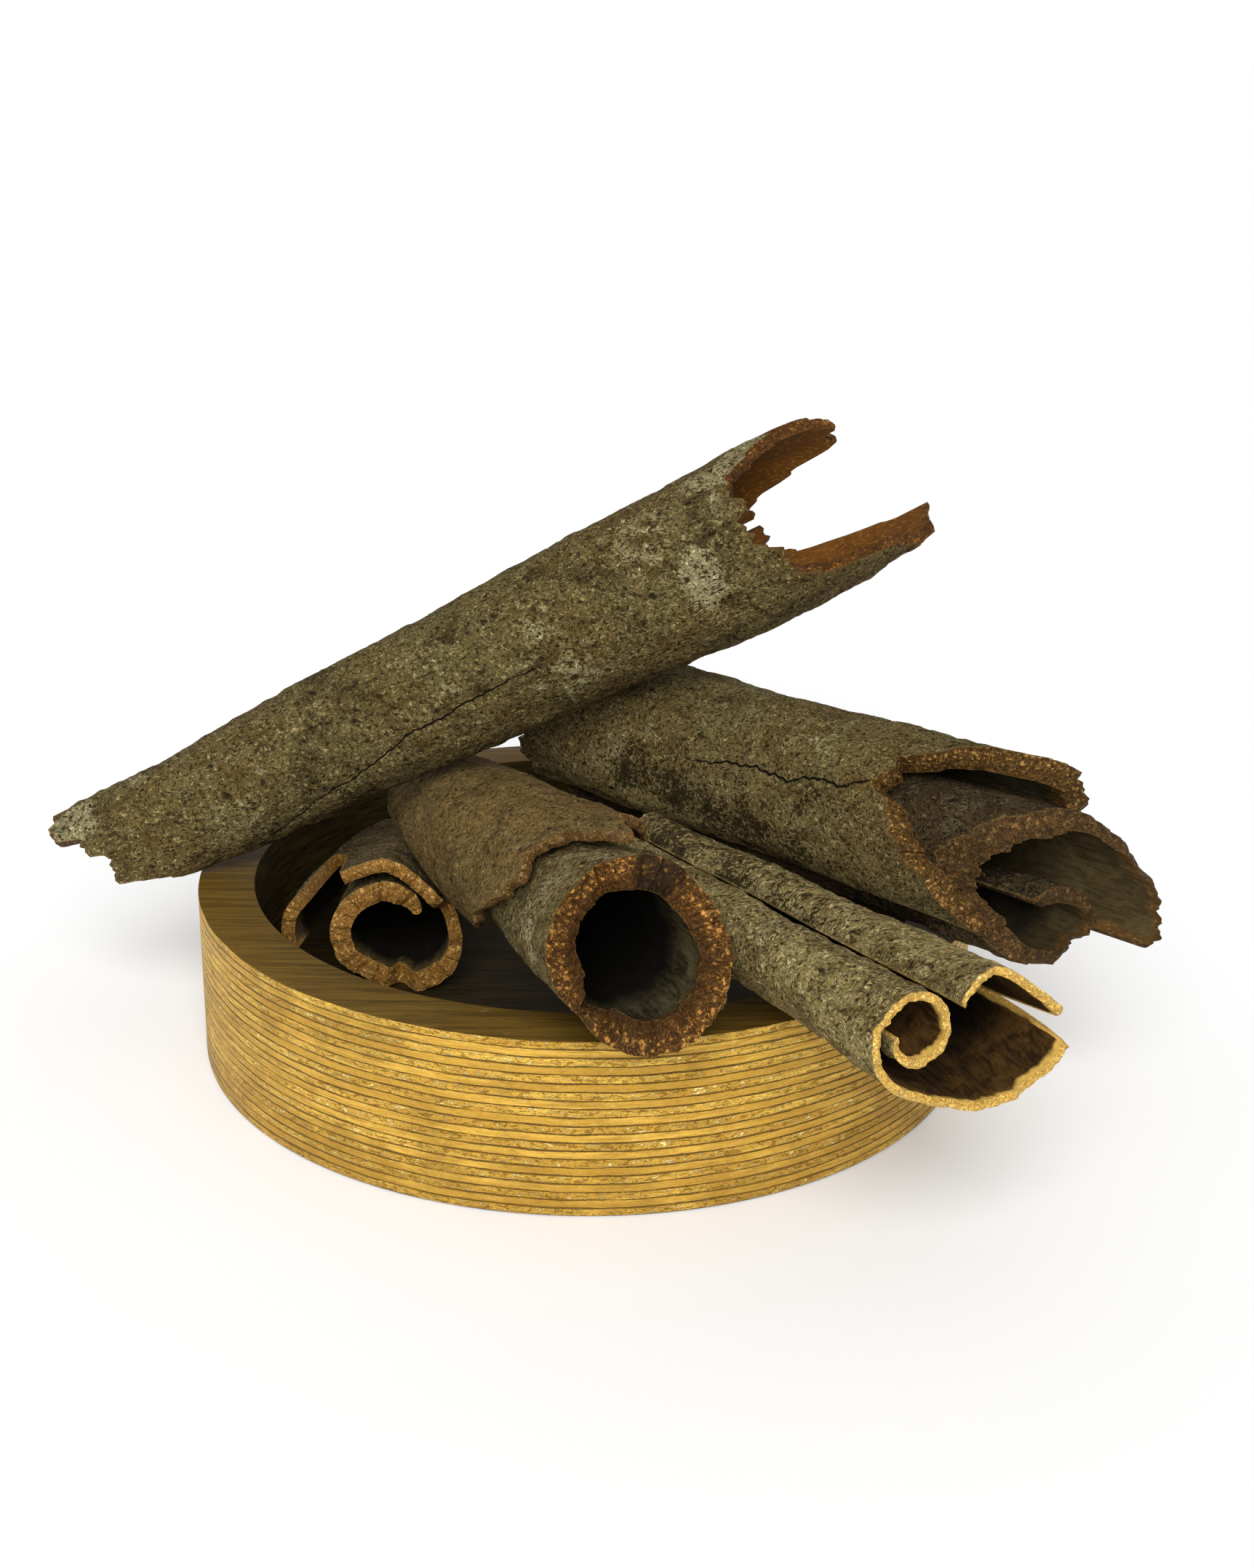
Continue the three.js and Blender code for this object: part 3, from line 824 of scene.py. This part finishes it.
def plywoodTop(d, name, wood, dark, scratched):
    p = Paint(name)
    where = p.stretch(p.node("ShaderNodeTexCoord", {}, {}, "Object"), unitsPerMetre)
    grain = p.noise(p.stretch(where, (0.045, 0.9, 0.9)), 1.0, 5.0, 0.65, 0.6)
    fine = p.noise(p.stretch(where, (0.25, 3.4, 3.4)), 1.0, 4.0, 0.6, 0.3)
    broad = p.noise(p.stretch(where, (0.02, 0.06, 0.06)), 1.0, 3.0)
    colour = p.blend(p.rise(grain, 0.32, 0.66), d[dark], d[wood])
    colour = p.blend(p.rise(broad, 0.4, 0.65) * 0.3, colour, d[wood])
    colour = p.blend(p.rise(1 - fine, 0.5, 0.68) * 0.5, colour, d[dark])
    scratches = squiggles(p, p.stretch(where, (0.03, 0.22, 1.0), (3, 11, 0)), 1.0, 0.006, 0.2)
    colour = p.blend(scratches * p.rise(broad, 0.45, 0.6) * scratched, colour, d["scratch"])
    return p.shade(
        Base_Color=colour, Roughness=0.6, Specular_IOR_Level=0.15,
        Normal=p.bump(grain * 0.5 + fine * 0.5, 0.2 * mm),
    )


def plywoodInside(d):
    p = Paint("plywoodInside")
    where = p.stretch(p.node("ShaderNodeTexCoord", {}, {}, "Object"), unitsPerMetre)
    streak = p.noise(p.stretch(where, (0.12, 0.12, 1.6)), 1.0, 4.0, 0.6, 0.4)
    blotch = p.noise(p.stretch(where, (1.0, 1.0, 4.0)), 0.05, 3.0)
    # these dark inside colours hold painted shade
    colour = p.blend(p.rise(streak, 0.34, 0.64), d["insideDark"], d["inside"])
    colour = p.blend(p.rise(blotch, 0.45, 0.65) * 0.4, colour, d["insideDark"])
    return p.shade(
        Base_Color=colour, Roughness=0.85, Specular_IOR_Level=0.1,
        Normal=p.bump(streak, 0.25 * mm),
    )


def pickTopFace(piece):
    bpy.ops.object.mode_set(mode="OBJECT")
    for face in piece.data.polygons:
        face.select = face.normal.z > facingUp
    for thing in (piece.data.vertices, piece.data.edges):
        thing.foreach_set("select", np.zeros(len(thing), bool))
    bpy.ops.object.mode_set(mode="EDIT")


def makeDish(d):
    bpy.ops.object.select_all(action="DESELECT")
    depth = d["height"] * mm
    bpy.ops.mesh.primitive_cylinder_add(
        vertices=d["sides"], radius=d["radius"] * mm, depth=depth, location=(0, 0, depth / 2)
    )
    piece = bpy.context.active_object
    piece.name = "plywoodDish"
    bpy.ops.object.transform_apply(location=True, rotation=True, scale=True)
    bpy.ops.object.mode_set(mode="EDIT")
    bpy.ops.mesh.select_mode(type="FACE")
    pickTopFace(piece)
    bpy.ops.mesh.inset(thickness=d["wall"] * mm)
    sink = (d["floor"] - d["height"]) * mm
    bpy.ops.mesh.extrude_region_move(TRANSFORM_OT_translate={"value": (0, 0, sink)})
    for number in range(1, d["plies"]):
        level = d["height"] * number / d["plies"]
        for height in (level - d["glueHalf"], level, level + d["glueHalf"]):
            bpy.ops.mesh.select_all(action="SELECT")
            bpy.ops.mesh.bisect(plane_co=(0, 0, height * mm), plane_no=(0, 0, 1))
    bpy.ops.object.mode_set(mode="OBJECT")
    plyHeight = d["height"] / d["plies"]
    for point in piece.data.vertices:
        level = point.co.z / mm / plyHeight
        outside = math.hypot(point.co.x, point.co.y) > (d["radius"] - 1) * mm
        if outside and 0.5 < level < d["plies"] - 0.5 and abs(level - round(level)) < 0.01:
            shrink = 1 - d["glueGroove"] / d["radius"]
            point.co.x *= shrink
            point.co.y *= shrink
    bevel = piece.modifiers.new("brokenEdge", "BEVEL")
    bevel.width = d["brokenEdge"] * mm
    bevel.segments = d["edgeSegments"]
    bevel.limit_method = "ANGLE"
    bevel.angle_limit = math.radians(d["sharpAngle"])
    applyAll(piece)
    for material in (
        plywoodSide(d),
        plywoodTop(d, "plywoodTop", "topWood", "topDark", d["rimScratches"]),
        plywoodInside(d),
        # the floor's wood colours hold painted shade
        plywoodTop(d, "plywoodFloor", "floorWoodAndShade", "floorDarkAndShade", d["floorScratches"]),
    ):
        piece.data.materials.append(material)
    for face in piece.data.polygons:
        centre = face.center / mm
        across = math.hypot(centre.x, centre.y)
        withinWall = across < d["radius"] - d["wall"] + d["wallSlack"]
        if centre.z > d["height"] - d["rimSlack"]:
            face.material_index = 1
        elif withinWall and centre.z > d["floor"] - d["floorSlack"]:
            face.material_index = 3 if face.normal.z > facingUp else 2
    bpy.ops.object.shade_smooth_by_angle(angle=math.radians(d["smoothAngle"]))
    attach(piece, "root")
    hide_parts("dish")
    print("dish turned,", len(piece.data.polygons), "faces")


makeDish(dish)


floorPlan = {"size": 400, "drop": 0.0002, "colour": (0.9, 0.9, 0.9, 1)}  # metres


def makeFloor(plan):
    bpy.ops.object.select_all(action="DESELECT")
    bpy.ops.mesh.primitive_plane_add(size=plan["size"], location=(0, 0, -plan["drop"]))
    floor = bpy.context.active_object
    floor.name = "paleFloor"
    p = Paint("paleFloor")
    floor.data.materials.append(p.shade(Base_Color=plan["colour"], Roughness=0.9, Specular_IOR_Level=0.1))


lights = {
    "sun": {"tilt": 54, "turn": -4, "softness": 40, "strength": 3.3},  # degrees, and the lamp's strength
    "sky": {"From Min": 0.04, "From Max": 0.4, "To Min": 1.1, "To Max": 0.5},  # height, then brightness
}


def makeLights(plan):
    # a broad soft lamp over the front, in a room that is white all round and dimmer overhead
    sun = plan["sun"]
    bpy.ops.object.light_add(type="SUN", location=(0, 0, 2))
    lamp = bpy.context.active_object
    lamp.name = "softLamp"
    lamp.rotation_euler = (math.radians(sun["tilt"]), 0, math.radians(sun["turn"]))
    lamp.data.angle = math.radians(sun["softness"])
    lamp.data.energy = sun["strength"]
    world = bpy.data.worlds.new("softStudio")
    world.use_nodes = True
    tree = world.node_tree
    where = tree.nodes.new("ShaderNodeTexCoord")
    split = tree.nodes.new("ShaderNodeSeparateXYZ")
    dim = tree.nodes.new("ShaderNodeMapRange")
    tree.links.new(where.outputs["Generated"], split.inputs["Vector"])
    tree.links.new(split.outputs["Z"], dim.inputs["Value"])
    for name, value in plan["sky"].items():
        dim.inputs[name].default_value = value
    background = tree.nodes["Background"]
    background.inputs["Color"].default_value = (1, 1, 1, 1)
    tree.links.new(dim.outputs["Result"], background.inputs["Strength"])
    bpy.context.scene.world = world


view = {
    "place": (0, -341.91, 169.79),  # mm
    "turned": (70.108, -0.947, -0.838),  # degrees about x, y and z, from looking straight down
    "focal": 2800.0,  # in the unit of imageHeight
    "imageHeight": 2156.0,
    "sensor": 36.0,  # mm
    "nearest": 0.01, "farthest": 100,  # metres
}


def makeCamera(v):
    place = Vector(v["place"]) * mm
    bpy.ops.object.camera_add(location=place, rotation=[math.radians(turn) for turn in v["turned"]])
    camera = bpy.context.active_object
    camera.name = "studioCamera"
    camera.data.sensor_fit = "VERTICAL"
    camera.data.sensor_height = v["sensor"]
    camera.data.lens = v["focal"] * v["sensor"] / v["imageHeight"]
    camera.data.clip_start = v["nearest"]
    camera.data.clip_end = v["farthest"]
    bpy.context.scene.camera = camera


makeFloor(floorPlan)
makeLights(lights)
makeCamera(view)
bpy.context.scene.view_settings.view_transform = "Standard"
print("floor, light and camera set")
